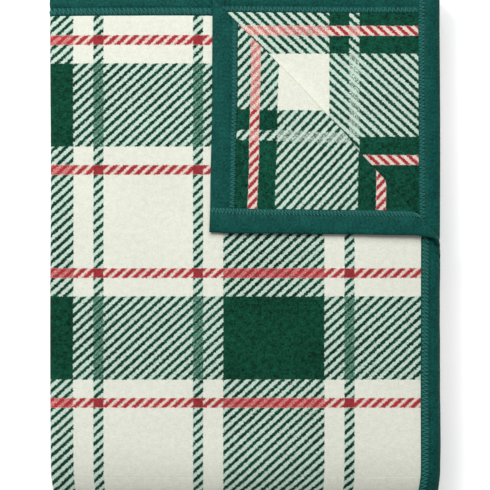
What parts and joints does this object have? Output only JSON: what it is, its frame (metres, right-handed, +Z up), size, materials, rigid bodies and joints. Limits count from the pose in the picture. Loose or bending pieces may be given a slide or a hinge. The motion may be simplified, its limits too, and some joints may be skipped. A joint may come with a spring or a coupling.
{
  "type": "folded camp blanket",
  "caption": "Plaid woven blanket with taped edges, folded in quarters both ways into a flat pad, one top corner turned back to show its reverse.",
  "frame": {"origin": "middle of the bottom of the folded pad", "axes": "+Z up off the surface that the pad lies on, +Y along the pad from the big round fold to the open ends, +X across it towards the bound side edges"},
  "size_m": [0.381, 0.5028, 0.0574],
  "materials": {
    "woven_cloth": "brushed jacquard cloth, cream, dark green and red plaid, with the colours inverted on the reverse",
    "binding_tape": "smooth folded tape, dark teal green",
    "seam_thread": "zigzag sewing thread, lighter teal"
  },
  "bodies": {
    "lower_half": {"cloth_end_fold": "woven_cloth", "cloth_inner_fold": "woven_cloth", "cloth_outer_fold": "woven_cloth", "cloth_row_2": "woven_cloth", "cloth_row_3": "woven_cloth", "side_seam_a_inner_fold": "seam_thread", "side_seam_a_lower": "seam_thread", "side_seam_a_outer_fold": "seam_thread", "side_seam_d_inner_fold": "seam_thread", "side_seam_d_lower": "seam_thread", "side_seam_d_outer_fold": "seam_thread", "side_tape_a_inner_fold": "binding_tape", "side_tape_a_lower": "binding_tape", "side_tape_a_outer_fold": "binding_tape", "side_tape_d_inner_fold": "binding_tape", "side_tape_d_lower": "binding_tape", "side_tape_d_outer_fold": "binding_tape"},
    "upper_half": {"cloth_row_1": "woven_cloth", "cloth_row_4": "woven_cloth", "foot_seam_row_4": "seam_thread", "foot_tape_row_4": "binding_tape", "head_seam_row_1": "seam_thread", "head_tape_row_1": "binding_tape", "side_seam_a_row_1": "seam_thread", "side_seam_a_row_4": "seam_thread", "side_seam_d_row_1": "seam_thread", "side_seam_d_row_4": "seam_thread", "side_tape_a_row_1": "binding_tape", "side_tape_a_row_4": "binding_tape", "side_tape_d_row_1": "binding_tape", "side_tape_d_row_4": "binding_tape", "cloth_corner_fold": "woven_cloth", "head_seam_corner_fold": "seam_thread", "head_tape_corner_fold": "binding_tape", "side_seam_a_corner_fold": "seam_thread", "side_tape_a_corner_fold": "binding_tape"},
    "corner_flap": {"cloth_corner": "woven_cloth", "head_seam_corner": "seam_thread", "head_tape_corner": "binding_tape", "side_seam_a_corner": "seam_thread", "side_tape_a_corner": "binding_tape"}
  },
  "joints": [
    {"name": "half_unfold", "type": "hinge", "parent": "lower_half", "child": "upper_half", "pos_m": [0, -0.2244, 0.027], "axis": [1, 0, 0], "range_deg": [0, 179], "deforming": ["cloth_inner_fold", "cloth_outer_fold", "side_seam_a_inner_fold", "side_seam_a_outer_fold", "side_seam_d_inner_fold", "side_seam_d_outer_fold", "side_tape_a_inner_fold", "side_tape_a_outer_fold", "side_tape_d_inner_fold", "side_tape_d_outer_fold"]},
    {"name": "corner_turn", "type": "hinge", "parent": "upper_half", "child": "corner_flap", "pos_m": [0.1046, 0.1046, 0.0559], "axis": [-0.6942, 0.7197, -0.0087], "range_deg": [0, 180], "deforming": ["cloth_corner_fold", "head_seam_corner_fold", "head_tape_corner_fold", "side_seam_a_corner_fold", "side_tape_a_corner_fold"]}
  ]
}
